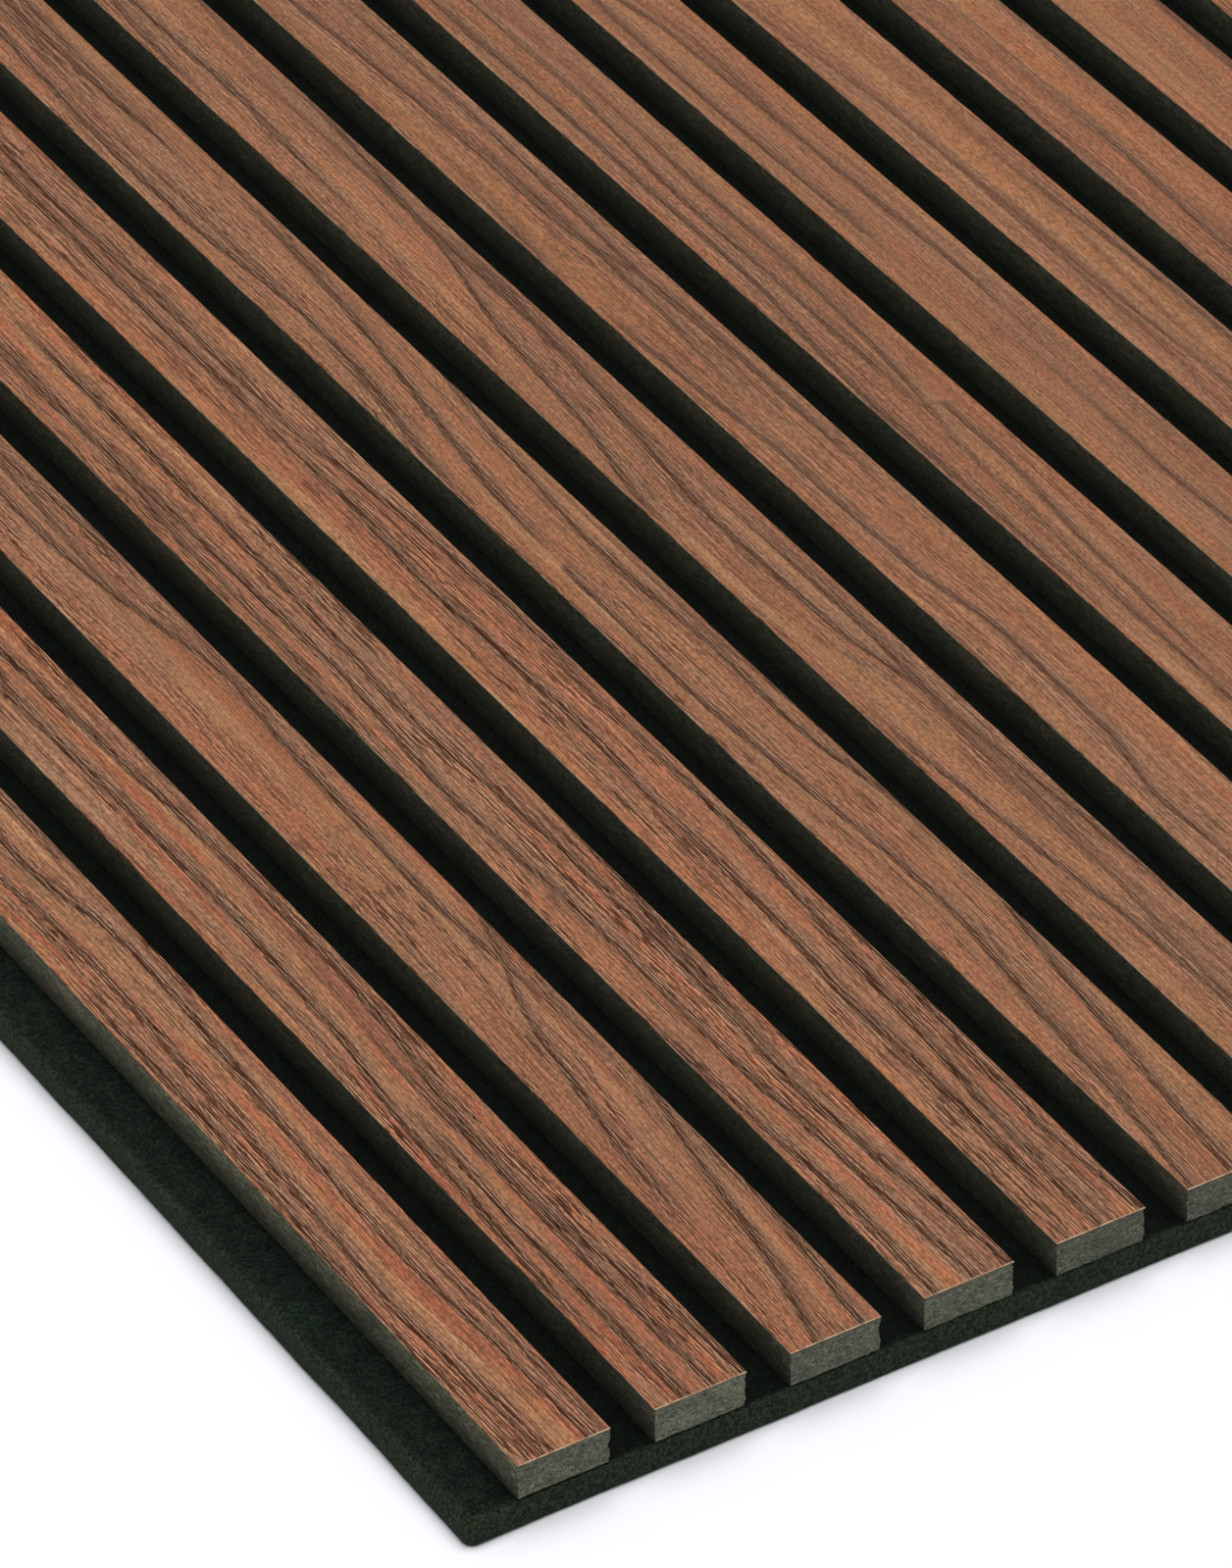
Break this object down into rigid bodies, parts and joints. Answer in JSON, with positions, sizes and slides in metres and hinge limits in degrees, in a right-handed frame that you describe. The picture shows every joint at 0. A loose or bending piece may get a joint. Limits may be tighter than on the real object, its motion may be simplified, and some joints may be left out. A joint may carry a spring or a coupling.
{
  "type": "acoustic slat wall panel",
  "caption": "Wall panel of long veneered slats, side by side on a dark felt backing that takes up sound, and stapled from the back.",
  "frame": {"origin": "middle of the felt's flat back face, which lies against the wall", "axes": "+X across the slats, from the side with the wide felt margin to the other, +Y along the slats, +Z out of the wall into the room"},
  "size_m": [0.605, 2.4, 0.0202],
  "materials": {
    "felt": "pressed polyester felt, near black with a green cast, needled and fuzzy",
    "dyed_fibreboard": "through-dyed medium density fibreboard, sawn, grey green",
    "walnut_veneer": "walnut veneer, straight grain, matt lacquer",
    "staple_wire": "galvanised flat staple wire"
  },
  "bodies": {
    "root": {"felt_backing": "felt", "slat_core_01": "dyed_fibreboard", "slat_veneer_01": "walnut_veneer", "slat_core_02": "dyed_fibreboard", "slat_veneer_02": "walnut_veneer", "slat_core_03": "dyed_fibreboard", "slat_veneer_03": "walnut_veneer", "slat_core_04": "dyed_fibreboard", "slat_veneer_04": "walnut_veneer", "slat_core_05": "dyed_fibreboard", "slat_veneer_05": "walnut_veneer", "slat_core_06": "dyed_fibreboard", "slat_veneer_06": "walnut_veneer", "slat_core_07": "dyed_fibreboard", "slat_veneer_07": "walnut_veneer", "slat_core_08": "dyed_fibreboard", "slat_veneer_08": "walnut_veneer", "slat_core_09": "dyed_fibreboard", "slat_veneer_09": "walnut_veneer", "slat_core_10": "dyed_fibreboard", "slat_veneer_10": "walnut_veneer", "slat_core_11": "dyed_fibreboard", "slat_veneer_11": "walnut_veneer", "slat_core_12": "dyed_fibreboard", "slat_veneer_12": "walnut_veneer", "slat_core_13": "dyed_fibreboard", "slat_veneer_13": "walnut_veneer", "slat_core_14": "dyed_fibreboard", "slat_veneer_14": "walnut_veneer", "slat_core_15": "dyed_fibreboard", "slat_veneer_15": "walnut_veneer", "staples": "staple_wire"}
  },
  "joints": []
}
